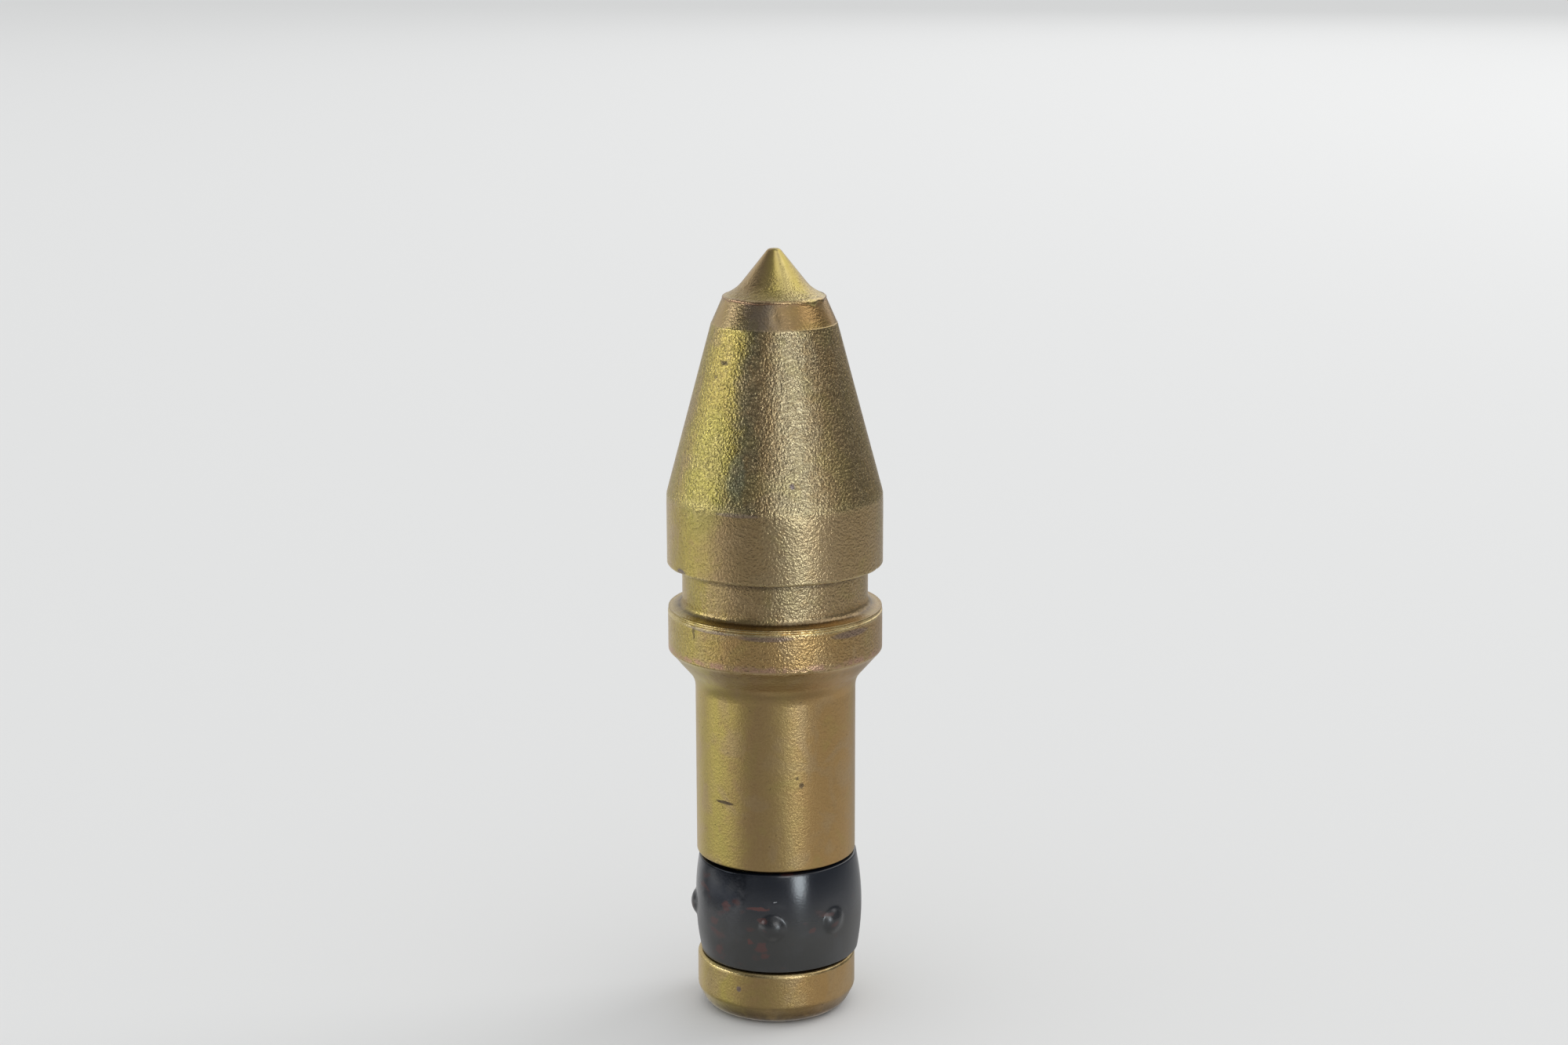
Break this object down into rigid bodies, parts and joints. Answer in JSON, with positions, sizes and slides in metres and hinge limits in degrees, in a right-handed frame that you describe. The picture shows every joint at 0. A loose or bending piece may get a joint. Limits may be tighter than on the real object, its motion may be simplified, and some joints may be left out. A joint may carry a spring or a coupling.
{
  "type": "trencher tooth",
  "caption": "Round-shank conical cutting tooth with a brazed hard tip, a collar with a cone seat, a puller groove and a split spring sleeve that keeps it in its holder.",
  "frame": {"origin": "centre of the flat rear end face, which the tooth stands on", "axes": "+Z along the tool's axis from the rear end face to the hard point; -Y is the side that the picture shows, and +Y is where the spring sleeve is split"},
  "size_m": [0.0334, 0.0334, 0.1204],
  "materials": {
    "plated_steel": "yellow chromate over shot-blasted forged steel",
    "plated_carbide": "yellow chromate over sintered hard metal",
    "braze": "braze alloy, lumpy at the rim",
    "spring_steel": "blackened spring steel, half gloss"
  },
  "bodies": {
    "tool": {"tool_body": "plated_steel", "carbide_tip": "plated_carbide", "braze_layer": "braze"},
    "sleeve": {"retainer_ring": "spring_steel"}
  },
  "joints": [
    {"name": "retainer_spin", "type": "hinge", "parent": "tool", "child": "sleeve", "pos_m": [0, 0, 0.01706], "axis": [0, 0, 1], "continuous": true}
  ]
}
